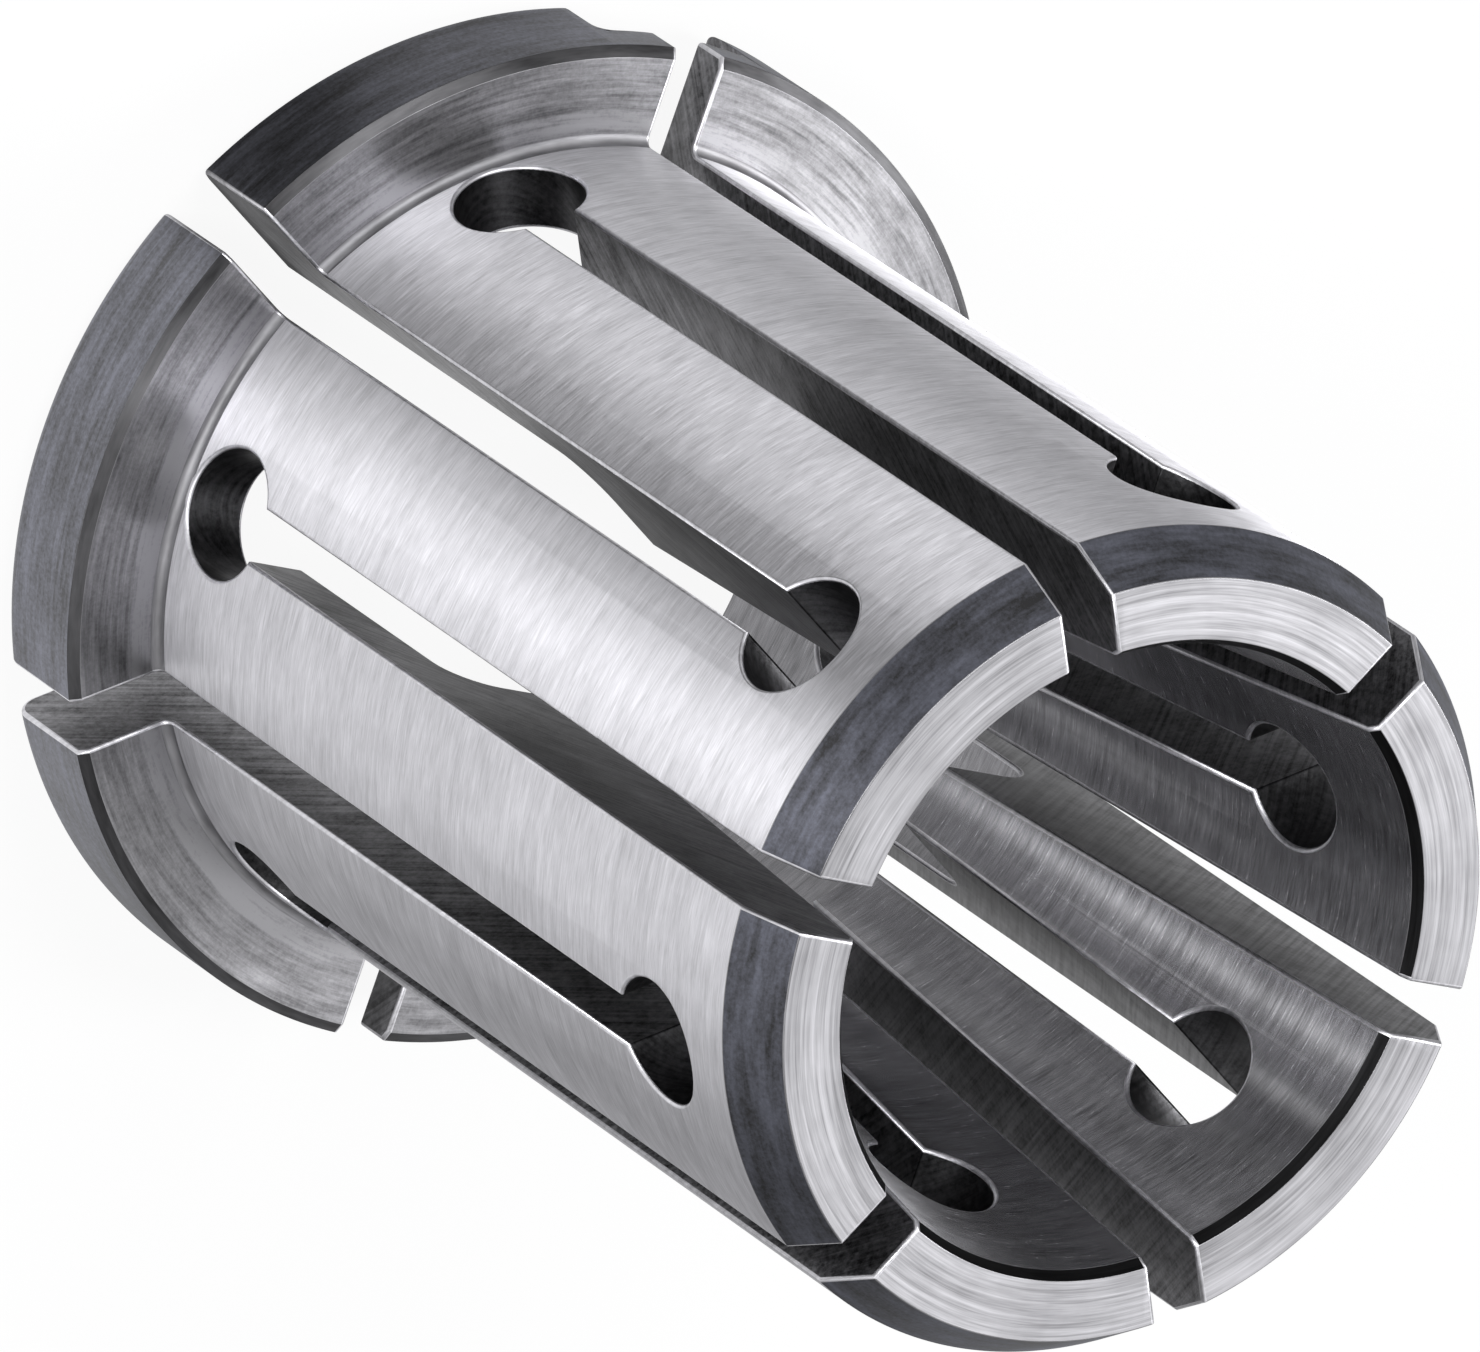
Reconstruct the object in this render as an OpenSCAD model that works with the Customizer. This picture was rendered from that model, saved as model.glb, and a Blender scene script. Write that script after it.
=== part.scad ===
/* [Body] */
// Ground diameter of the body, which grips the workpiece from inside
body_d = 26.7; // [25.5:0.1:29]
// Overall length, from the back face to the front face
length = 39.4; // [38:0.2:44]

/* [Nose] */
// Length of the turned chamfer at the front end of the body
nose_l = 1.8; // [1:0.1:3]
// Angle of that chamfer to the axis, in degrees
nose_angle = 30; // [15:1:40]

/* [Flange] */
// Outside diameter of the flange
flange_d = 33; // [31:0.5:40]
// Thickness of the flange, from the back face to the shoulder
flange_t = 4.2; // [3.6:0.1:4.4]
// Radius of the rounded rim at the back of the flange
rim_r = 0.8; // [0.3:0.1:1.2]
// Width of the bevel at the front of the flange, measured along the radius
bevel_w = 0.35; // [0.1:0.05:0.8]
// Depth of the same bevel, measured along the axis
bevel_t = 0.2; // [0.1:0.05:0.6]
// Fillet between the shoulder and the body
root_r = 0.3; // [0.1:0.05:0.6]

/* [Tapered bore] */
// Diameter at the small end of the taper, where it meets the step
taper_d = 14.6; // [13:0.1:16]
// Included angle of the taper, in degrees
taper_angle = 15; // [12:0.5:17]
// Width of the chamfer at the mouth of the taper, measured along the radius
mouth_w = 0.25; // [0.1:0.05:0.6]
// Depth of the same chamfer, measured along the axis
mouth_l = 0.35; // [0.1:0.05:0.8]

/* [Relief] */
// Diameter of the relieved bore behind the taper
relief_d = 22.4; // [20:0.1:23]
// Depth of the relieved bore, from the back face to the step
relief_l = 17.8; // [16:0.2:20]
// Radius of the corner between the relieved bore and the step
relief_r = 1.5; // [0.5:0.1:2]

/* [Slots] */
// Number of slots sawn from each end, the two sets standing between each other
slots = 6; // [4:1:6]
// Width of each slot
slot_w = 1.7; // [1:0.1:2]
// Diameter of the hole drilled at the closed end of each slot
hole_d = 4.1; // [3:0.1:4.4]
// Distance from the front face to the holes that end the slots from the back
front_hole = 5.9; // [5:0.1:9]
// Distance from the back face to the holes that end the slots from the front
back_hole = 6.6; // [6.4:0.1:9]
// Break on the long outer edges of the slots
slot_break = 0.15; // [0.05:0.05:0.3]

/* [Drive slot] */
// Width of the drive slot across the back face
drive_w = 5.8; // [4:0.1:7]
// Depth of the drive slot
drive_t = 2.7; // [2:0.1:3.2]
// Radius in the corners of its floor
drive_floor_r = 0.6; // [0.2:0.1:1]
// Radius on the edges of its mouth
drive_edge_r = 0.5; // [0.2:0.1:0.8]

/* [Hidden] */
$fn = 180;

body_r = body_d / 2;
flange_r = flange_d / 2;
relief_bore_r = relief_d / 2;
taper_r = taper_d / 2;
mouth_r = taper_at(length - mouth_l) + mouth_w;
slot_step = 360 / slots;
// How far a cutter runs past the surface that it opens
past = 1;
reach = flange_r + past;

// Radius of the taper at height z
function taper_at(z) = taper_r + (z - relief_l) * tan(taper_angle / 2);

// What a round of radius r takes off a square corner at the origin whose sides run along +x and +y
module corner(r) {
    difference() {
        translate([-past, -past]) square(r + past);
        translate([r, r]) circle(r);
    }
}

// Half section of the outside: flange with its rounded rim and bevel, body, nose chamfer
module outside() {
    difference() {
        polygon([
            [0, 0],
            [flange_r, 0],
            [flange_r, flange_t - bevel_t],
            [flange_r - bevel_w, flange_t],
            [body_r, flange_t],
            [body_r, length - nose_l],
            [body_r - nose_l * tan(nose_angle), length],
            [0, length]
        ]);
        translate([flange_r, 0]) mirror([1, 0]) corner(rim_r);
    }
    // fillet at the foot of the body
    translate([body_r, flange_t]) difference() {
        translate([-root_r, -root_r]) square(2 * root_r);
        translate([root_r, root_r]) circle(root_r);
    }
}

// Half section of the inside: relieved bore, step, taper that opens to the front, mouth chamfer
module inside() {
    difference() {
        translate([0, -past]) square([relief_bore_r, relief_l + past]);
        translate([relief_bore_r, relief_l]) rotate(180) corner(relief_r);
    }
    polygon([
        [0, relief_l - past],
        [taper_r, relief_l - past],
        [taper_r, relief_l],
        [mouth_r - mouth_w, length - mouth_l],
        [mouth_r, length],
        [mouth_r, length + past],
        [0, length + past]
    ]);
}

// The turned blank before slotting, with the seam of the revolve on a land clear of every slot
module blank() {
    rotate(slot_step / 8) rotate_extrude() difference() {
        outside();
        inside();
    }
}

// One slot along +x from low to high, with the hole that ends it at height end
module slot(low, high, end) {
    translate([0, -slot_w / 2, low]) cube([reach, slot_w, high - low]);
    translate([0, 0, end]) rotate([0, 90, 0]) cylinder(d = hole_d, h = reach);
}

// The small bevels that break the long edges of a slot on the body, cut as one vee along it
module slot_edges(low, high) {
    half_diagonal = slot_w / 2 + slot_break + past;
    translate([body_r + past, 0, low]) rotate(45)
        translate([-half_diagonal / sqrt(2), -half_diagonal / sqrt(2), 0])
            cube([half_diagonal * sqrt(2), half_diagonal * sqrt(2), high - low]);
}

// A slot sawn from the front face down to its hole near the flange
module front_slot() {
    slot(back_hole, length + past, back_hole);
    slot_edges(back_hole, length + past);
}

// A slot sawn from the back face up to its hole near the nose
module back_slot() {
    slot(-past, length - front_hole, length - front_hole);
    slot_edges(flange_t + root_r, length - front_hole);
}

// Section of the drive slot: flat floor with rounded corners, and a rounded mouth
module drive_section() {
    difference() {
        translate([-drive_w / 2, -past]) square([drive_w, drive_t + past]);
        for (side = [0, 1]) mirror([side, 0])
            translate([drive_w / 2, drive_t]) rotate(180) corner(drive_floor_r);
    }
    for (side = [0, 1]) mirror([side, 0])
        translate([drive_w / 2, 0]) corner(drive_edge_r);
}

// The drive slot, milled along x across the whole back face
module drive_slot() {
    rotate([90, 0, 90]) translate([0, 0, -reach])
        linear_extrude(height = 2 * reach) drive_section();
}

// The clamping sleeve, standing on the back face of its flange
module sleeve() {
    color("silver") difference() {
        blank();
        for (i = [0 : slots - 1]) {
            rotate(i * slot_step) back_slot();
            rotate((i + 0.5) * slot_step) front_slot();
        }
        drive_slot();
    }
}

sleeve();
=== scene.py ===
"""Looks of a slotted clamping sleeve.

A finely meshed copy of the turned, drilled and sawn solid replaces it, with a finish of its own for each
kind of surface.
"""
import math
from collections import namedtuple

import bmesh
import bpy
import numpy as np
from mathutils import Matrix, Vector

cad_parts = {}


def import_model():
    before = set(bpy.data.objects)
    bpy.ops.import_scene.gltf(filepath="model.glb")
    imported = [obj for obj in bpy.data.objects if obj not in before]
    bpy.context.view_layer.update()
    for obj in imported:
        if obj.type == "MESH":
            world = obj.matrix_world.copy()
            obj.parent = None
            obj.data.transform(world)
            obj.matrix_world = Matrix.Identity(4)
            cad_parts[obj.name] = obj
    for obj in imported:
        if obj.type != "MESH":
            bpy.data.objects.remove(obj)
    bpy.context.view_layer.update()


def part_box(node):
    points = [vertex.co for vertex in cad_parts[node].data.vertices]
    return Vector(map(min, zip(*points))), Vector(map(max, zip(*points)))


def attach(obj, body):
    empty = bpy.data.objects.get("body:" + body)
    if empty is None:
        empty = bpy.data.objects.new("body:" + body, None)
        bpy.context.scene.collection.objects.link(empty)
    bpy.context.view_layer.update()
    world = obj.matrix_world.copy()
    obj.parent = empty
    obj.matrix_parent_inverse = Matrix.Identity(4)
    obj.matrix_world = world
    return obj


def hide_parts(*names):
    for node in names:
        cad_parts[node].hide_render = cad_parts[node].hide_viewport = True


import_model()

# Millimetres to metres
MM = 0.001

# Sizes that the frame gives, in millimetres
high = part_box("sleeve")[1]
LENGTH = high.z / MM
FLANGE_R = high.y / MM

# The solid's other sizes, in millimetres and degrees
BODY_R = 13.35
RELIEF_R = 11.2
NOSE_L = 1.8
NOSE_ANGLE = 30
FLANGE_T = 4.2
RIM_R = 0.8
BEVEL_W = 0.35
BEVEL_T = 0.2
ROOT_R = 0.3
TAPER_R = 7.3
TAPER_ANGLE = 15
TAPER_SLOPE = math.tan(math.radians(TAPER_ANGLE / 2))
MOUTH_W = 0.25
MOUTH_L = 0.35
RELIEF_L = 17.8
RELIEF_CORNER_R = 1.5
SLOTS = 6
SLOT_W = 1.7
HOLE_R = 2.05
# Distance from the front face to the holes that end the slots from the back, and the heights of both rows
FRONT_HOLE = 5.9
FRONT_HOLE_Z = LENGTH - FRONT_HOLE
BACK_HOLE_Z = 6.6
DRIVE_W = 5.8
DRIVE_T = 2.7
DRIVE_FLOOR_R = 0.6
DRIVE_EDGE_R = 0.5

# Edge breaks of the visual mesh, in millimetres
TURNED_BREAK = 0.06
SLOT_BREAK = 0.12
# Rounds that start nearer than this to their corner are mitred where a slot's edge passes them
MITRE = 0.2
# How far the strip along a slot's wall runs into its hole, in millimetres, and how far the strip round the
# hole runs into the slot, in radians
INTO_HOLE = 2 * SLOT_BREAK
INTO_SLOT = 0.12
# Steps round the axis and round a hole, and the fewest steps and largest step in degrees of a round
TURN_STEPS = 360
HOLE_STEPS = 72
FEWEST_STEPS = 3
ARC_STEP = 12
# Points nearer than this are one point
WELD = 0.0005
# A length that counts as none, and one that is past everything
TINY = 1e-9
FAR = 1e9
# How far a cutter runs past what it opens, and the radii between which the slots are cut
PAST = 1.0
CUT_FROM = 6.6
CUT_TO = FLANGE_R + PAST


# Outlines

def unit(v):
    return v / np.linalg.norm(v)


# A side of an outline has no centre, and its value is its outward normal.
# A round has a centre and the corner that it rounds off, and its value is +1 where it bulges out or -1.
Piece = namedtuple("Piece", "name line value centre corner")


def rounded(corners):
    """Pieces of a closed outline with rounded corners, counterclockwise.
    A corner is (point, radius, name of its round, name of the side after it)."""
    points = [np.array(corner[0], float) for corner in corners]
    rounds = []
    for i, (_, radius, _, _) in enumerate(corners):
        here = points[i]
        back = unit(points[i - 1] - here)
        on = unit(points[(i + 1) % len(points)] - here)
        if radius == 0:
            rounds.append((np.array([here]), here, 1))
            continue
        half = math.acos(back @ on) / 2
        centre = here + unit(back + on) * radius / math.sin(half)
        run = radius / math.tan(half)
        first, last = here + back * run - centre, here + on * run - centre
        start = math.atan2(first[1], first[0])
        sweep = (math.atan2(last[1], last[0]) - start + math.pi) % (2 * math.pi) - math.pi
        steps = max(FEWEST_STEPS, math.ceil(abs(math.degrees(sweep)) / ARC_STEP))
        angles = start + sweep * np.arange(steps + 1) / steps
        arc = centre + radius * np.stack([np.cos(angles), np.sin(angles)], 1)
        rounds.append((arc, centre, math.copysign(1, sweep)))
    pieces = []
    for i, (arc, centre, sign) in enumerate(rounds):
        pieces.append(Piece(corners[i][2], arc, sign, centre, points[i]))
        side = np.array([arc[-1], rounds[(i + 1) % len(rounds)][0][0]])
        along = unit(side[1] - side[0])
        pieces.append(Piece(corners[i][3], side, np.array([along[1], -along[0]]), None, None))
    return pieces


def piece_normals(piece, points):
    """Outward normals of an outline piece at points of its plane."""
    if piece.centre is None:
        return np.tile(piece.value, (len(points), 1))
    away = (points - piece.centre) * piece.value
    return away / np.maximum(np.linalg.norm(away, axis=1), TINY)[:, None]


def taper_at(z):
    """Radius of the taper at a height."""
    return TAPER_R + (z - RELIEF_L) * TAPER_SLOPE


MOUTH_Z = LENGTH - MOUTH_L
NOSE_R = BODY_R - NOSE_L * math.tan(math.radians(NOSE_ANGLE))
# Half section of the turned blank, as radius and height
SECTION = rounded([
    ((RELIEF_R, 0), 2 * TURNED_BREAK, "edge", "back"),
    ((FLANGE_R, 0), RIM_R, "band", "band"),
    ((FLANGE_R, FLANGE_T - BEVEL_T), TURNED_BREAK / 2, "groove", "groove"),
    ((FLANGE_R - BEVEL_W, FLANGE_T), TURNED_BREAK / 2, "edge", "shoulder"),
    ((BODY_R, FLANGE_T), ROOT_R, "root", "body"),
    ((BODY_R, LENGTH - NOSE_L), TURNED_BREAK, "edge", "nose"),
    ((NOSE_R, LENGTH), TURNED_BREAK, "edge", "face"),
    ((taper_at(MOUTH_Z) + MOUTH_W, LENGTH), TURNED_BREAK / 2, "edge", "mouth"),
    ((taper_at(MOUTH_Z), MOUTH_Z), TURNED_BREAK, "edge", "taper"),
    ((TAPER_R, RELIEF_L), TURNED_BREAK, "edge", "step"),
    ((RELIEF_R, RELIEF_L), RELIEF_CORNER_R, "relief", "relief"),
])
NAMES = [piece.name for piece in SECTION]
BODY_PIECE, TAPER_PIECE, RELIEF_PIECE = NAMES.index("body"), NAMES.index("taper"), len(SECTION) - 1
# Section of the drive slot as a cutter, across and height; its mouth starts a hair below the back face
HALF = DRIVE_W / 2
HAIR = 0.002
DRIVE_SECTION = rounded([
    ((-HALF - PAST, -PAST), 0, "air", "air"),
    ((HALF + PAST, -PAST), 0, "air", "air"),
    ((HALF + PAST, -HAIR), 0, "air", "air"),
    ((HALF, -HAIR), DRIVE_EDGE_R, "drive", "drive"),
    ((HALF, DRIVE_T), DRIVE_FLOOR_R, "drive", "drive"),
    ((-HALF, DRIVE_T), DRIVE_FLOOR_R, "drive", "drive"),
    ((-HALF, -HAIR), DRIVE_EDGE_R, "drive", "air"),
    ((-HALF - PAST, -HAIR), 0, "air", "air"),
])

# Region numbers, which the faces carry as their material index while the mesh is cut
DRIVE_FIRST = len(SECTION)
WALL = DRIVE_FIRST + len(DRIVE_SECTION)
HOLE = WALL + 1
WALL_BREAK = WALL + 2
HOLE_BREAK = WALL + 3
REGIONS = WALL + 4


# Meshes

def mesh_object(name, parts):
    """One object from parts of (vertices, faces, regions)."""
    vertices, faces, regions = [], [], []
    for part_vertices, part_faces, part_regions in parts:
        first = len(vertices)
        vertices += [tuple(v) for v in part_vertices]
        faces += [tuple(first + i for i in face) for face in part_faces]
        regions += part_regions
    mesh = bpy.data.meshes.new(name)
    mesh.from_pydata(vertices, [], faces)
    for _ in range(REGIONS):
        mesh.materials.append(None)
    mesh.polygons.foreach_set("material_index", regions)
    mesh.update()
    obj = bpy.data.objects.new(name, mesh)
    bpy.context.scene.collection.objects.link(obj)
    return obj


def outline_points(pieces):
    """The points of a closed outline, and for each stretch to the next point its piece number."""
    found = [(point, number) for number, piece in enumerate(pieces) for point in piece.line[:-1]]
    return np.array([point for point, _ in found]), [number for _, number in found]


def revolved(pieces):
    """An outline of radius and height turned round the axis."""
    points, stretches = outline_points(pieces)
    turns = np.arange(TURN_STEPS) * 2 * math.pi / TURN_STEPS
    vertices = [(r * math.cos(t), r * math.sin(t), z) for r, z in points for t in turns]
    faces, regions = [], []
    for i, number in enumerate(stretches):
        row, above = i * TURN_STEPS, (i + 1) % len(points) * TURN_STEPS
        for j in range(TURN_STEPS):
            k = (j + 1) % TURN_STEPS
            faces.append((row + j, row + k, above + k, above + j))
            regions.append(number)
    return vertices, faces, regions


def prism(outline, regions, frame_at, near, far):
    """A counterclockwise outline drawn out from near to far.
    frame_at gives the point at (distance, across, height)."""
    count = len(outline)
    vertices = [frame_at(d, u, v) for d in (near, far) for u, v in outline]
    faces = [(i, (i + 1) % count, (i + 1) % count + count, i + count) for i in range(count)]
    faces += [tuple(range(count - 1, -1, -1)), tuple(range(count, 2 * count))]
    return vertices, faces, list(regions) + [WALL, WALL]


def radial_frame(angle):
    """A frame whose distance runs out from the axis at this angle, with height along the axis."""
    c, s = math.cos(math.radians(angle)), math.sin(math.radians(angle))
    return lambda d, u, v: (d * c - u * s, d * s + u * c, v)


# A slot is (angle, height of its hole, +1 where it is sawn from the back or -1 from the front)
SLOT_STEP = 360 / SLOTS
ALL_SLOTS = [(i * SLOT_STEP, FRONT_HOLE_Z, 1) for i in range(SLOTS)]
ALL_SLOTS += [((i + 0.5) * SLOT_STEP, BACK_HOLE_Z, -1) for i in range(SLOTS)]
# Half the angle of its hole that the slot opens
MEET = math.asin(SLOT_W / 2 / HOLE_R)


def hole_angles(way, more=0):
    """Angles round a hole from one side of its slot to the other, counterclockwise, and more at each end."""
    start = -way * math.pi / 2 + MEET - more
    return start + np.arange(HOLE_STEPS + 1) / HOLE_STEPS * 2 * (math.pi - MEET + more)


def keyhole(slot):
    """A slot and its hole as one cutter, from inside the bore to outside the flange."""
    angle, hole_z, way = slot
    open_z = -PAST if way > 0 else LENGTH + PAST
    outline = [(HOLE_R * math.cos(a), hole_z + HOLE_R * math.sin(a)) for a in hole_angles(way)]
    outline += [(-way * SLOT_W / 2, open_z), (way * SLOT_W / 2, open_z)]
    return prism(outline, [HOLE] * HOLE_STEPS + [WALL] * 3, radial_frame(angle), CUT_FROM, CUT_TO)


def drive_cutter():
    """The drive slot as one cutter along x."""
    points, stretches = outline_points(DRIVE_SECTION)
    regions = [DRIVE_FIRST + number for number in stretches]
    return prism(points, regions, radial_frame(0), -CUT_TO, CUT_TO)


# Section of the strip that rounds an edge, in break widths: along the normals of the edge's two faces,
# and back along those faces from the edge
STRIP = [(0, 0.067, 0, 1.25), (0, 0, 0.134, 0.5), (0, 0, 0.5, 0.134), (0.067, 0, 1.25, 0), (0.4, 0.4, 0, 0)]


def strip(path, first, second, region):
    """A closed strip along an edge, which rounds it off.
    first and second are the normals of the edge's two faces."""
    rings = []
    for point, n1, n2 in zip(path, first, second):
        along_1 = (n2 @ unit(n1)) * unit(n1) - n2
        along_2 = (n1 @ n2) * n2 - n1
        rings += [point + SLOT_BREAK * (a * n1 + b * n2 + c * along_1 + d * along_2) for a, b, c, d in STRIP]
    count = len(STRIP)
    faces = []
    for i in range(len(path) - 1):
        for j in range(count):
            k = (j + 1) % count
            faces.append((i * count + j, i * count + k, (i + 1) * count + k, (i + 1) * count + j))
    faces += [tuple(range(count - 1, -1, -1)), tuple(range(len(rings) - count, len(rings)))]
    if np.cross(path[1] - path[0], first[0]) @ second[0] < 0:
        faces = [face[::-1] for face in faces]
    return rings, faces, [region] * len(faces)


def section_walk(first, last, z):
    """Points of the section and their normals, counterclockwise from height z on one side to height z on
    another. A small outer round becomes its corner, with a mitred normal, which reaches 1 along both
    sides' normals."""
    points, normals = [], []
    number = first
    while True:
        piece = SECTION[number]
        line = piece.line
        if number in (first, last):
            run = line[-1] - line[0]
            cut = line[0] + run * (z - line[0][1]) / run[1]
            line = np.array([cut, line[-1]]) if number == first else np.array([line[0], cut])
        near = piece_normals(piece, line)
        if piece.centre is not None and piece.value > 0 and np.linalg.norm(line[0] - piece.corner) < MITRE:
            points[-1] = piece.corner
            normals[-1] = (near[0] + near[-1]) / (1 + near[0] @ near[-1])
        else:
            skip = 0 if number == first else 1
            points += list(line[skip:])
            normals += list(near[skip:])
        if number == last:
            return np.array(points), np.array(normals)
        number = (number + 1) % len(SECTION)


def lifted(slot, across, radius, height, normals):
    """Points and normals in space of section points beside a slot, this far across from its middle."""
    at = radial_frame(slot[0])
    out = np.sqrt(radius ** 2 - across ** 2)
    points = np.stack(at(out, across, height), 1)
    normals = np.stack(at(normals[:, 0] * out / radius, normals[:, 0] * across / radius, normals[:, 1]), 1)
    return points, normals


def wall_strip(slot, side):
    """Rounds the whole edge of one wall of a slot, from its hole inside the bore to its hole outside."""
    _, hole_z, way = slot
    z = hole_z - way * (HOLE_R * math.cos(MEET) - INTO_HOLE)
    start, end = (TAPER_PIECE, BODY_PIECE) if way > 0 else (BODY_PIECE, RELIEF_PIECE)
    section, normals = section_walk(start, end, z)
    across = np.full(len(section), side * SLOT_W / 2)
    path, first = lifted(slot, across, section[:, 0], section[:, 1], normals)
    second = np.tile(radial_frame(slot[0])(0, -side, 0), (len(path), 1))
    return strip(path, first, second, WALL_BREAK)


def hole_strip(slot, number):
    """Rounds the edge of a slot's hole where it opens on one piece of the section."""
    _, hole_z, way = slot
    angles = hole_angles(way, INTO_SLOT)
    across, height = HOLE_R * np.cos(angles), hole_z + HOLE_R * np.sin(angles)
    (r0, z0), (r1, z1) = SECTION[number].line
    radius = r0 + (r1 - r0) * (height - z0) / (z1 - z0)
    normals = piece_normals(SECTION[number], np.stack([radius, height], 1))
    path, first = lifted(slot, across, radius, height, normals)
    second = np.stack(radial_frame(slot[0])(0 * angles, -np.cos(angles), -np.sin(angles)), 1)
    return strip(path, first, second, HOLE_BREAK)


def without(obj, parts):
    """Takes these closed parts, which don't touch each other, away from the object."""
    cutter = mesh_object("cutter", parts)
    cut = obj.modifiers.new("cut", "BOOLEAN")
    cut.operation = "DIFFERENCE"
    cut.solver = "MANIFOLD"
    cut.material_mode = "INDEX"
    cut.object = cutter
    graph = bpy.context.evaluated_depsgraph_get()
    mesh = bpy.data.meshes.new_from_object(obj.evaluated_get(graph))
    obj.modifiers.clear()
    obj.data = mesh
    bpy.data.objects.remove(cutter)


def slot_coordinates(points):
    """For each point, the angle of its nearest slot in radians, and how far across from its middle it is."""
    step = math.radians(SLOT_STEP / 2)
    angle = np.round(np.arctan2(points[:, 1], points[:, 0]) / step) * step
    return angle, points[:, 1] * np.cos(angle) - points[:, 0] * np.sin(angle)


def section_normals_near(radius, height):
    """Normals of the whole section at its point nearest to each given one."""
    best = np.full(len(radius), FAR)
    found = np.zeros((len(radius), 2))
    here = np.stack([radius, height], 1)
    for piece in SECTION:
        normals = piece_normals(piece, here)
        line = piece.line
        for a, b in zip(line[:-1], line[1:]):
            t = np.clip((here - a) @ (b - a) / ((b - a) @ (b - a)), 0, 1)
            away = np.linalg.norm(here - a - t[:, None] * (b - a), axis=1)
            nearer = away < best
            best[nearer] = away[nearer]
            found[nearer] = normals[nearer]
    return found


def numbers_of(items, name):
    """One whole number of each item of a mesh."""
    found = np.zeros(len(items), np.int32)
    items.foreach_get(name, found)
    return found


def vectors_of(items, name):
    """One vector of each item of a mesh."""
    found = np.zeros(len(items) * 3)
    items.foreach_get(name, found)
    return found.reshape(-1, 3)


def true_normals(mesh):
    """The exact surface's normal at each face corner, so that round surfaces don't shade as facets, and
    each face's region."""
    points = vectors_of(mesh.vertices, "co")[numbers_of(mesh.loops, "vertex_index")]
    corners = numbers_of(mesh.polygons, "loop_total")
    normals = np.repeat(vectors_of(mesh.polygons, "normal"), corners, 0)
    regions = numbers_of(mesh.polygons, "material_index")
    region = np.repeat(regions, corners)
    radius = np.hypot(points[:, 0], points[:, 1])
    out = points[:, :2] / radius[:, None]

    def turned(chosen, flat):
        return np.column_stack([out[chosen] * flat[:, :1], flat[:, 1]])

    # Turned surfaces
    for number, piece in enumerate(SECTION):
        chosen = region == number
        flat = piece_normals(piece, np.stack([radius, points[:, 2]], 1)[chosen])
        normals[chosen] = turned(chosen, flat)
    # Rounds of the drive slot, while its flat sides and the walls of the slots keep their faces' normals
    for number, piece in enumerate(DRIVE_SECTION):
        chosen = region == DRIVE_FIRST + number
        if piece.centre is not None and chosen.any():
            flat = -piece_normals(piece, points[chosen][:, 1:])
            normals[chosen] = np.column_stack([np.zeros(len(flat)), flat])

    # Holes, and broken edges, which turn from the section's normal to that of the wall or hole
    angle, across = slot_coordinates(points)
    sideways = np.column_stack([-np.sin(angle), np.cos(angle), np.zeros(len(points))])
    odd = np.round(angle / math.radians(SLOT_STEP / 2)).astype(int) % 2
    rise = points[:, 2] - np.where(odd == 1, BACK_HOLE_Z, FRONT_HOLE_Z)
    reach = np.hypot(across, rise)
    inward = -(sideways * across[:, None] + np.array([0, 0, 1]) * rise[:, None]) / reach[:, None]
    hole = region == HOLE
    normals[hole] = inward[hole]
    for kind, second, depth in (
        (WALL_BREAK, -np.sign(across)[:, None] * sideways, np.abs(across) - SLOT_W / 2),
        (HOLE_BREAK, inward, reach - HOLE_R),
    ):
        chosen = region == kind
        first = turned(chosen, section_normals_near(radius[chosen], points[chosen, 2]))
        part = np.clip(1 - depth[chosen] / SLOT_BREAK, 0, 1)[:, None]
        mixed = first * np.sqrt(1 - part ** 2) + second[chosen] * part
        normals[chosen] = mixed / np.linalg.norm(mixed, axis=1)[:, None]
    return normals, regions


def sleeve_object():
    """The sleeve: turned blank, slots with their holes, drive slot, and every sawn edge rounded off."""
    sleeve = mesh_object("clamping_sleeve", [revolved(SECTION)])
    without(sleeve, [keyhole(slot) for slot in ALL_SLOTS])
    without(sleeve, [drive_cutter()])
    without(sleeve, [wall_strip(slot, side) for slot in ALL_SLOTS for side in (-1, 1)])
    outer_and_inner = [(slot, number) for slot in ALL_SLOTS
                       for number in (BODY_PIECE, TAPER_PIECE if slot[2] > 0 else RELIEF_PIECE)]
    without(sleeve, [hole_strip(slot, number) for slot, number in outer_and_inner])
    mesh = sleeve.data
    triangles = bmesh.new()
    triangles.from_mesh(mesh)
    bmesh.ops.remove_doubles(triangles, verts=triangles.verts[:], dist=WELD)
    bmesh.ops.dissolve_degenerate(triangles, edges=triangles.edges[:], dist=WELD)
    bmesh.ops.triangulate(triangles, faces=triangles.faces[:], quad_method="BEAUTY", ngon_method="BEAUTY")
    triangles.to_mesh(mesh)
    triangles.free()
    normals, regions = true_normals(mesh)
    mesh.transform(Matrix.Scale(MM, 4))
    mesh.polygons.foreach_set("use_smooth", np.ones(len(mesh.polygons), bool))
    free_normals = mesh.attributes.new("custom_normal", "FLOAT_VECTOR", "CORNER")
    free_normals.data.foreach_set("vector", normals.ravel())
    return sleeve, regions


# Nodes

def new_node(tree, kind, settings=(), **inputs):
    """A new node with these settings. Its inputs go by name, or by i and their number, and each is
    a value or another node's output."""
    made = tree.nodes.new(kind)
    for key, value in dict(settings).items():
        setattr(made, key, value)
    for key, value in inputs.items():
        socket = made.inputs[int(key[1:]) if key[1:].isdigit() else key]
        if isinstance(value, bpy.types.NodeSocket):
            tree.links.new(value, socket)
        else:
            socket.default_value = value
    return made


def computed(tree, operation, *values):
    """The number that a math node makes of others."""
    inputs = {f"i{number}": value for number, value in enumerate(values)}
    return new_node(tree, "ShaderNodeMath", {"operation": operation}, **inputs).outputs[0]


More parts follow.
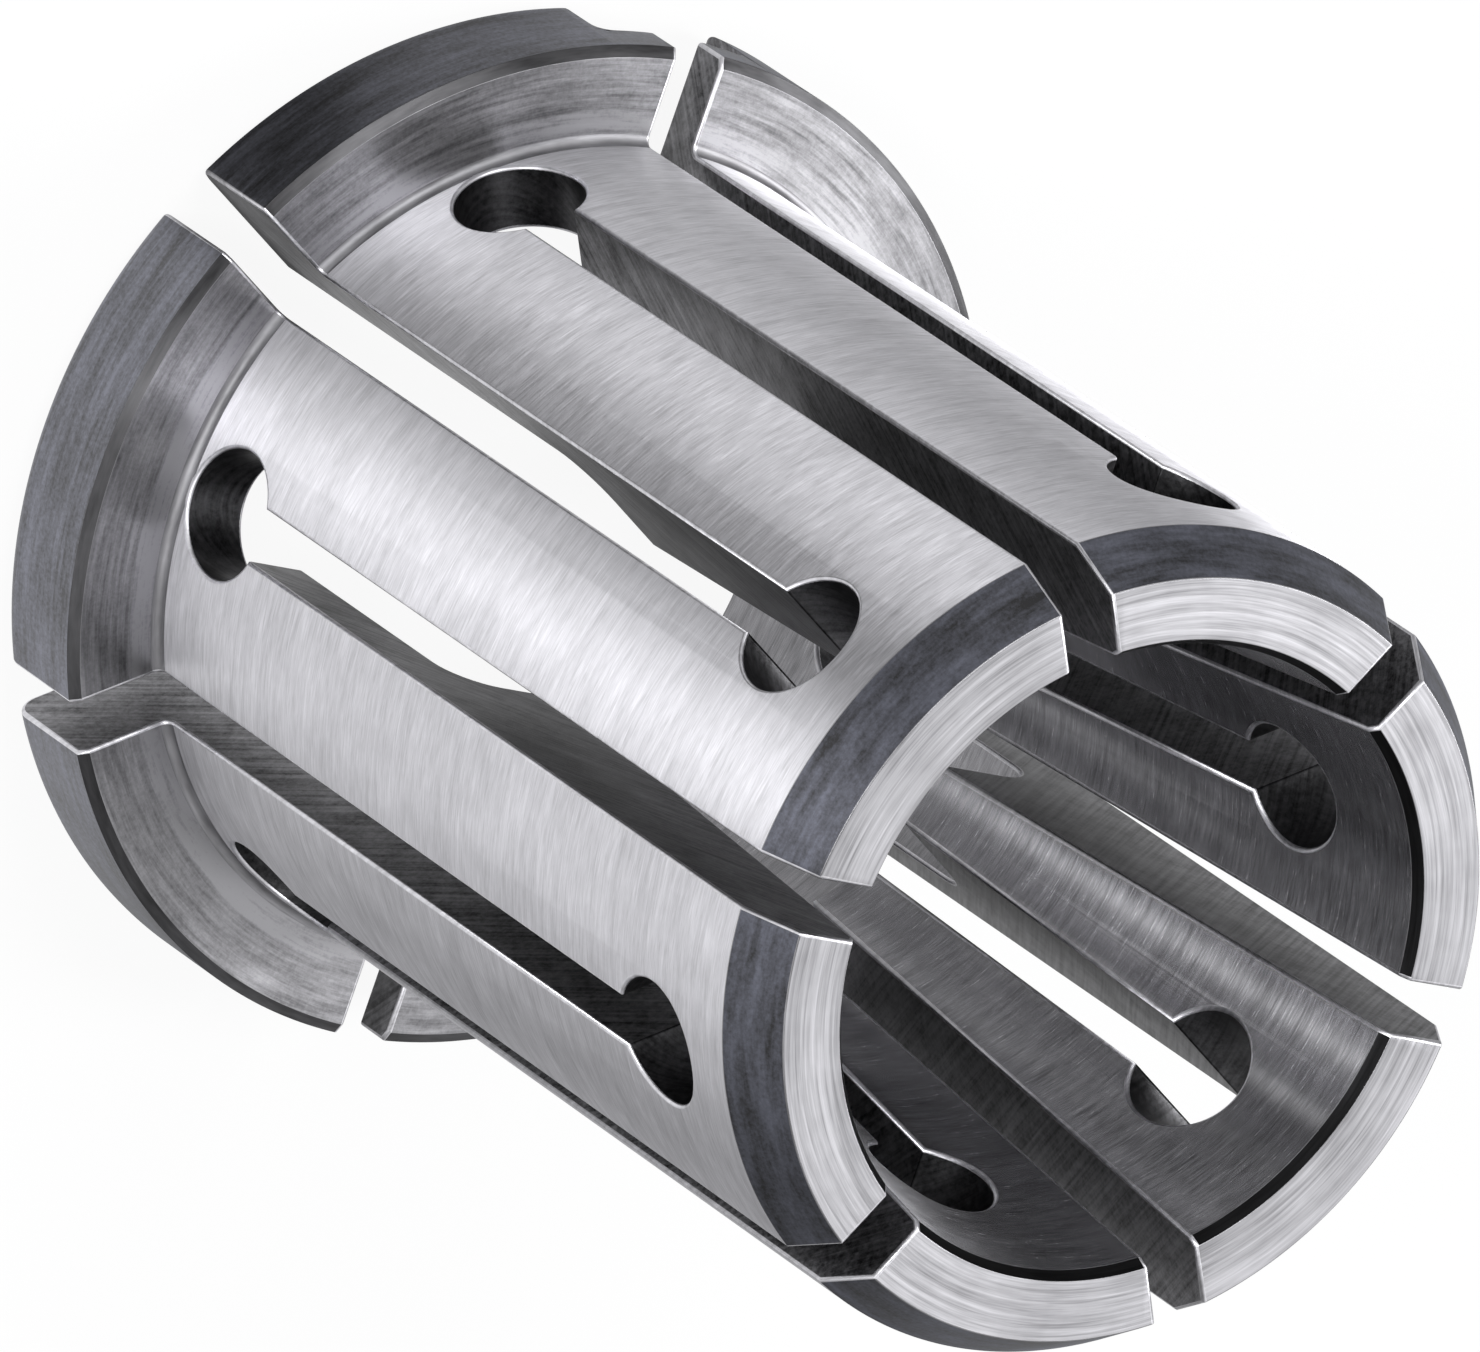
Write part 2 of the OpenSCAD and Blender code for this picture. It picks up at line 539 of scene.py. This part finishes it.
def ramp(tree, position, stops):
    """The colour at a position from 0 to 1, between the given ones."""
    made = new_node(tree, "ShaderNodeValToRGB", Fac=position)
    elements = made.color_ramp.elements
    while len(elements) < len(stops):
        elements.new(0.5)
    for element, (where, colour) in zip(elements, stops):
        element.position = where
        element.color = (*colour, 1)
    return made.outputs["Color"]


def stops_at(places, *colours):
    """The stops of a ramp that has these colours at these places."""
    return list(zip(places, colours))


# Materials

# Clouds and dots of turned metal, and speckles and patches of sawn metal, per millimetre
CLOUDS = 0.5
DOTS = 7
SPECKLES = 5
PATCHES = 0.9
# Scratches of sawn metal per millimetre, across them and along them
SCRATCHES = (5, 0.25)
# How many turning marks wide and long a band of them is
BAND_WIDTH = 5
BAND_LENGTH = 4
# What noise mostly lies between, and the tones at which a metal has its dark and its light colour
NOISE_RANGE = (0.3, 0.7)
TURNED_TONES = (0.36, 0.64)
SAWN_TONES = (0.38, 0.62)
# The share by which roughness goes up and down
TURNED_VARIATION = 0.1
SAWN_VARIATION = 0.2
# Radius of the shoulder's inner zone, painted lighter partly for its finer turning and partly as a painted
# highlight, and the width of its soft edge, in millimetres
INNER_ZONE_R = 14.35
INNER_ZONE_EDGE = 0.15
# Share of a turn from the radial tangent to the way that highlights stretch
STRETCH_TURN = 0.25
# How much bluer than grey plain metal looks
BLUE = 0.05
# Red of a grey without blue, and how much of it goes as blue comes
GREY_RED = 1.02
RED_LOST = 0.25


class Shader:
    """The material of a metal, while its nodes are made."""

    def __init__(self, name):
        self.material = bpy.data.materials.new(name)
        self.material.use_nodes = True
        self.tree = self.material.node_tree
        self.surface = self.tree.nodes["Principled BSDF"]
        self.place = self.node("ShaderNodeTexCoord").outputs["Object"]

    def node(self, kind, settings=(), **inputs):
        return new_node(self.tree, kind, settings, **inputs)

    def math(self, operation, a, b):
        return computed(self.tree, operation, a, b)

    def radius(self):
        """Distance from the axis."""
        parts = self.node("ShaderNodeSeparateXYZ", Vector=self.place).outputs
        flat = self.node("ShaderNodeCombineXYZ", X=parts[0], Y=parts[1])
        return self.node("ShaderNodeVectorMath", {"operation": "LENGTH"}, i0=flat.outputs[0]).outputs["Value"]

    def turned_place(self, across, along):
        """A place to read noise at, which changes fast across turning marks and slowly along them.
        Both are numbers per millimetre."""
        parts = self.node("ShaderNodeSeparateXYZ", Vector=self.place).outputs
        walk = self.math("MULTIPLY", self.math("ADD", self.radius(), parts[2]), across / MM)
        x = self.math("MULTIPLY", parts[0], along / MM)
        y = self.math("MULTIPLY", parts[1], along / MM)
        return self.node("ShaderNodeCombineXYZ", X=x, Y=y, Z=walk).outputs[0]

    def noise(self, place, scale, detail, roughness):
        made = self.node("ShaderNodeTexNoise", Vector=place, Scale=scale, Detail=detail, Roughness=roughness)
        return made.outputs["Fac"]

    def turned_noise(self, across, along, detail, roughness):
        return self.noise(self.turned_place(across, along), 1, detail, roughness)

    def spread(self, value, low, high, to_low, to_high):
        """A value between low and high, brought between two others."""
        return self.node("ShaderNodeMapRange", i0=value, i1=low, i2=high, i3=to_low, i4=to_high).outputs[0]

    def varied(self, value, noise, share):
        """A value that a noise moves up and down by this share of it."""
        return self.spread(noise, *NOISE_RANGE, value * (1 - share), value * (1 + share))

    def mixed(self, *parts):
        """The sum of values, each times its share."""
        total = None
        for value, share in parts:
            part = self.math("MULTIPLY", value, share)
            total = part if total is None else self.math("ADD", total, part)
        return total

    def finish(self, colour, roughness, height, depth, anisotropic=0.0):
        """The finished metal, with a relief of this depth in millimetres where that isn't 0."""
        ends = self.surface.inputs
        self.tree.links.new(colour, ends["Base Color"])
        self.tree.links.new(roughness, ends["Roughness"])
        ends["Metallic"].default_value = 1
        if anisotropic:
            ends["Anisotropic"].default_value = anisotropic
            tangent = self.node("ShaderNodeTangent", {"direction_type": "RADIAL", "axis": "Z"})
            self.tree.links.new(tangent.outputs[0], ends["Tangent"])
            ends["Anisotropic Rotation"].default_value = STRETCH_TURN
        if depth:
            normal = self.node("ShaderNodeBump", Height=height, Strength=1.0, Distance=depth * MM)
            self.tree.links.new(normal.outputs[0], ends["Normal"])
        return self.material


def grey(value, blue=BLUE):
    """A grey with this share more blue, and with less red the bluer it is."""
    return (value * (GREY_RED - RED_LOST * blue), value, value * (1 + blue))


def turned_metal(name, dark, light, rough, lines, around=0.35, depth=0.003, anisotropic=0.0, blue=BLUE,
                 speckle=0.0, inner_finish_and_highlight=0.0):
    """Metal with turning marks round the axis, between a dark and a light grey.
    lines and around are the numbers of marks per millimetre across them and along them, depth is their
    depth in millimetres, blue how blue the light grey is, speckle the share of fine dots in the tone,
    and the last how much lighter the inner zone of the shoulder is painted, partly for its finer turning
    and partly as a painted highlight."""
    shader = Shader(name)
    marks = shader.turned_noise(lines, around, detail=3, roughness=0.7)
    bands = shader.turned_noise(lines / BAND_WIDTH, around / BAND_LENGTH, detail=2, roughness=0.6)
    clouds = shader.noise(shader.place, CLOUDS / MM, detail=3, roughness=0.55)
    tone = shader.mixed((marks, 0.55), (clouds, 0.2), (bands, 0.25))
    if speckle:
        dots = shader.math("SUBTRACT", shader.noise(shader.place, DOTS / MM, detail=3, roughness=0.7), 0.5)
        tone = shader.math("ADD", tone, shader.math("MULTIPLY", dots, speckle))
    # The shoulder's inner zone is painted lighter: partly its finer turning, partly a painted highlight
    if inner_finish_and_highlight:
        outside = INNER_ZONE_R + INNER_ZONE_EDGE
        inside = shader.spread(shader.radius(), INNER_ZONE_R * MM, outside * MM, inner_finish_and_highlight, 0)
        tone = shader.math("ADD", tone, inside)
    colour = ramp(shader.tree, tone, stops_at(TURNED_TONES, grey(dark), grey(light, blue)))
    return shader.finish(colour, shader.varied(rough, marks, TURNED_VARIATION), marks, depth, anisotropic)


def sawn_metal(name, dark, light, rough, depth):
    """Metal with the speckle and scratches of a saw or drill, between a dark and a light grey."""
    shader = Shader(name)
    speckle = shader.noise(shader.place, SPECKLES / MM, detail=4, roughness=0.75)
    patches = shader.noise(shader.place, PATCHES / MM, detail=3, roughness=0.6)
    scratches = shader.turned_noise(*SCRATCHES, detail=2, roughness=0.6)
    tone = shader.mixed((speckle, 0.4), (patches, 0.25), (scratches, 0.35))
    colour = ramp(shader.tree, tone, stops_at(SAWN_TONES, grey(dark), grey(light)))
    return shader.finish(colour, shader.varied(rough, speckle, SAWN_VARIATION), speckle, depth)


def finishes():
    """The material of each region, by the name of its piece of the section."""
    ground = turned_metal("ground_steel", 0.53, 0.80, 0.47, 16, around=1.0, depth=0.0006, anisotropic=0.95)
    # The bore's steel is painted darker than the ground steel outside: painted shade inside the bore
    bored_painted_shade = turned_metal("bored_steel", 0.22, 0.54, 0.25, 16, around=1.1, depth=0.0004, anisotropic=1.0)
    blued = turned_metal("blued_steel", 0.05, 0.17, 0.42, 6, anisotropic=0.5, blue=0.22, speckle=0.3)
    band = turned_metal("blued_band", 0.11, 0.26, 0.42, 4, anisotropic=0.5, blue=0.16, speckle=0.4)
    bevel = turned_metal("bevel_steel", 0.04, 0.11, 0.4, 6, anisotropic=0.8)
    faced = turned_metal("faced_steel", 0.24, 0.54, 0.42, 9, around=0.2, anisotropic=0.2)
    # Its lighter inner zone is partly a painted highlight
    shoulder = turned_metal("shoulder_steel", 0.14, 0.38, 0.32, 5, anisotropic=0.65, speckle=0.25, inner_finish_and_highlight=0.12)
    black = turned_metal("black_chamfer", 0.008, 0.02, 0.4, 5)
    bright = turned_metal("bright_edge", 0.5, 0.85, 0.4, 4, depth=0)
    turned_edge = turned_metal("turned_edge", 0.15, 0.4, 0.45, 4, depth=0)
    root = turned_metal("root_steel", 0.15, 0.38, 0.5, 6, anisotropic=0.3)
    # Slot walls and hole walls are painted far darker than the turned steel: painted shade of the deep,
    # narrow slots and holes
    sawn_painted_shade = sawn_metal("sawn_steel", 0.045, 0.34, 0.42, 0.008)
    drilled_painted_shade = sawn_metal("drilled_steel", 0.03, 0.12, 0.4, 0.006)
    by_name = {
        "body": ground, "taper": bored_painted_shade, "relief": bored_painted_shade, "step": bored_painted_shade, "nose": blued, "band": band,
        "groove": bevel, "mouth": black, "face": faced, "shoulder": shoulder, "root": root,
        "edge": turned_edge, "back": faced, "drive": sawn_painted_shade, "air": sawn_painted_shade,
    }
    found = [by_name[piece.name] for piece in SECTION + DRIVE_SECTION]
    # The dark sawn and drilled steel of walls and holes is painted shade
    return found + [sawn_painted_shade, drilled_painted_shade, bright, bright]


def dress(sleeve, regions):
    """Gives each region's faces their material."""
    chosen = finishes()
    slots = sorted(set(chosen), key=lambda material: material.name)
    sleeve.data.materials.clear()
    for material in slots:
        sleeve.data.materials.append(material)
    numbers = np.array([slots.index(material) for material in chosen], np.int32)
    sleeve.data.polygons.foreach_set("material_index", numbers[regions])
    sleeve.data.update()


# Stage

# Where the world is brightest to metal, as azimuth and elevation in degrees, and its levels of white, from
# opposite that direction at 0 to it at 1
WORLD_SIDE = (75, 51)
WORLD_LEVELS = [(0.0, 0.8), (0.35, 0.75), (0.5, 0.35), (0.62, 0.3), (0.8, 0.5), (0.95, 1.0)]
# The world's plain light
WORLD_COLOUR = (0.95, 0.97, 1, 1)
WORLD_LIGHT = 0.25
# Levels of white that metal finds on the floor, by azimuth in degrees
FLOOR_LEVELS = [
    (0, 0.36), (20, 0.4), (60, 0.55), (144, 0.5), (153, 0.4), (178, 0.75), (194, 0.52), (208, 0.44),
    (222, 0.07), (235, 0.05), (246, 0.95), (311, 1.0), (336, 0.62), (348, 0.4), (360, 0.36),
]
# The share of white that the camera finds there, the floor's plain colour, and its size in metres
FLOOR_WHITE = 0.92
FLOOR_COLOUR = (0.85, 0.85, 0.85, 1)
FLOOR_SIZE = 4
WHITE = (1, 1, 1, 1)
# Name, azimuth and elevation in degrees, size in metres and power in watts of each lamp
LAMPS = [
    ("key", 265, 42, 0.14, 1.35),
    ("right", 305, 42, 0.3, 0.6),
    ("left", 192, 52, 0.25, 1.6),
    ("back", 104, 36, 0.2, 2.4),
]
# How far they stand from the middle of the sleeve, in metres
LAMP_DISTANCE = 0.6
# Lens, width of the sensor and place of the camera in millimetres, and the directions of its picture's
# right side and of its view
LENS = 723.2
SENSOR = 36
CAMERA_PLACE = (-190.628, -540.085, 724.201)
CAMERA_RIGHT = (-0.320494, 0.792639, 0.518659)
CAMERA_AHEAD = (0.208927, 0.593208, -0.777466)
# Nearest and farthest that it sees, in metres
CLIP_START = 0.01
CLIP_END = 10


def direction_of(azimuth, elevation):
    """The direction toward an azimuth and elevation in degrees."""
    a, e = math.radians(azimuth), math.radians(elevation)
    return Vector((math.cos(a) * math.cos(e), math.sin(a) * math.cos(e), math.sin(e)))


def toward_side(tree, direction, side):
    """From 0 opposite the side to 1 at it."""
    toward = new_node(
        tree, "ShaderNodeVectorMath", {"operation": "DOT_PRODUCT"}, i0=direction, i1=direction_of(*side))
    return new_node(tree, "ShaderNodeMapRange", i0=toward.outputs["Value"], i1=-1).outputs[0]


def round_axis(tree, place):
    """From 0 at azimuth 0 to 1 at 360 degrees."""
    opposite = new_node(tree, "ShaderNodeVectorMath", {"operation": "SCALE"}, i0=place, Scale=-1)
    turn = new_node(tree, "ShaderNodeTexGradient", {"gradient_type": "RADIAL"}, Vector=opposite.outputs[0])
    return turn.outputs["Fac"]


def level_at(tree, position, levels):
    """The level of white at a position from 0 to 1, between the given ones."""
    return ramp(tree, position, [(where, (level, level, level)) for where, level in levels])


def with_white(tree, plain, white_kind, camera_share, glossy_level):
    """A shader that is plain light to most rays, white by this share to the camera, and white of this
    level to glossy and clear surfaces."""
    path = new_node(tree, "ShaderNodeLightPath").outputs
    surfaces = computed(tree, "MAXIMUM", path["Is Glossy Ray"], path["Is Transmission Ray"])
    to_camera = computed(tree, "MULTIPLY", path["Is Camera Ray"], camera_share)
    below_white = computed(tree, "SUBTRACT", glossy_level, 1)
    level = computed(tree, "MULTIPLY_ADD", surfaces, below_white, 1)
    white = new_node(tree, white_kind, Color=WHITE, Strength=level)
    share = computed(tree, "MAXIMUM", surfaces, to_camera)
    return new_node(tree, "ShaderNodeMixShader", i0=share, i1=plain, i2=white.outputs[0]).outputs[0]


def world():
    """White to the camera. To metal it is brightest behind and above the sleeve."""
    made = bpy.data.worlds.new("studio")
    bpy.context.scene.world = made
    made.use_nodes = True
    tree = made.node_tree
    plain = tree.nodes["Background"]
    plain.inputs["Color"].default_value = WORLD_COLOUR
    plain.inputs["Strength"].default_value = WORLD_LIGHT
    direction = new_node(tree, "ShaderNodeTexCoord").outputs["Generated"]
    level = level_at(tree, toward_side(tree, direction, WORLD_SIDE), WORLD_LEVELS)
    surface = with_white(tree, plain.outputs[0], "ShaderNodeBackground", 1, level)
    tree.links.new(surface, tree.nodes["World Output"].inputs["Surface"])


def floor():
    """White to the camera but for a soft shadow. Metal finds it bright in front of the sleeve, with a dark
    stretch on one side of that."""
    bpy.ops.mesh.primitive_plane_add(size=FLOOR_SIZE)
    made = bpy.context.object
    made.name = "floor"
    material = bpy.data.materials.new("floor")
    material.use_nodes = True
    tree = material.node_tree
    tree.nodes.remove(tree.nodes["Principled BSDF"])
    plain = new_node(tree, "ShaderNodeBsdfDiffuse", Color=FLOOR_COLOUR)
    place = new_node(tree, "ShaderNodeTexCoord").outputs["Object"]
    levels = [(azimuth / 360, level) for azimuth, level in FLOOR_LEVELS]
    level = level_at(tree, round_axis(tree, place), levels)
    surface = with_white(tree, plain.outputs[0], "ShaderNodeEmission", FLOOR_WHITE, level)
    tree.links.new(surface, tree.nodes["Material Output"].inputs["Surface"])
    made.data.materials.append(material)


def lamp(name, azimuth, elevation, size, power):
    """A square soft light that looks at the middle of the sleeve."""
    data = bpy.data.lights.new(name, "AREA")
    data.shape = "SQUARE"
    data.size = size
    data.energy = power
    made = bpy.data.objects.new(name, data)
    bpy.context.scene.collection.objects.link(made)
    away = direction_of(azimuth, elevation)
    made.location = away * LAMP_DISTANCE + Vector((0, 0, LENGTH * MM / 2))
    made.rotation_euler = away.to_track_quat("Z", "Y").to_euler()


def camera():
    """The photograph's camera."""
    data = bpy.data.cameras.new("camera")
    data.sensor_fit = "HORIZONTAL"
    data.sensor_width = SENSOR
    data.lens = LENS
    data.clip_start = CLIP_START
    data.clip_end = CLIP_END
    made = bpy.data.objects.new("camera", data)
    bpy.context.scene.collection.objects.link(made)
    right = Vector(CAMERA_RIGHT).normalized()
    ahead = Vector(CAMERA_AHEAD).normalized()
    up = right.cross(ahead)
    turn = Matrix((right, up, -ahead)).transposed()
    made.matrix_world = Matrix.Translation(Vector(CAMERA_PLACE) * MM) @ turn.to_4x4()
    bpy.context.scene.camera = made


camera()
world()
floor()
for row in LAMPS:
    lamp(*row)
sleeve, regions = sleeve_object()
dress(sleeve, regions)
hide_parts("sleeve")
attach(sleeve, "root")
bpy.context.scene.view_settings.view_transform = "Standard"
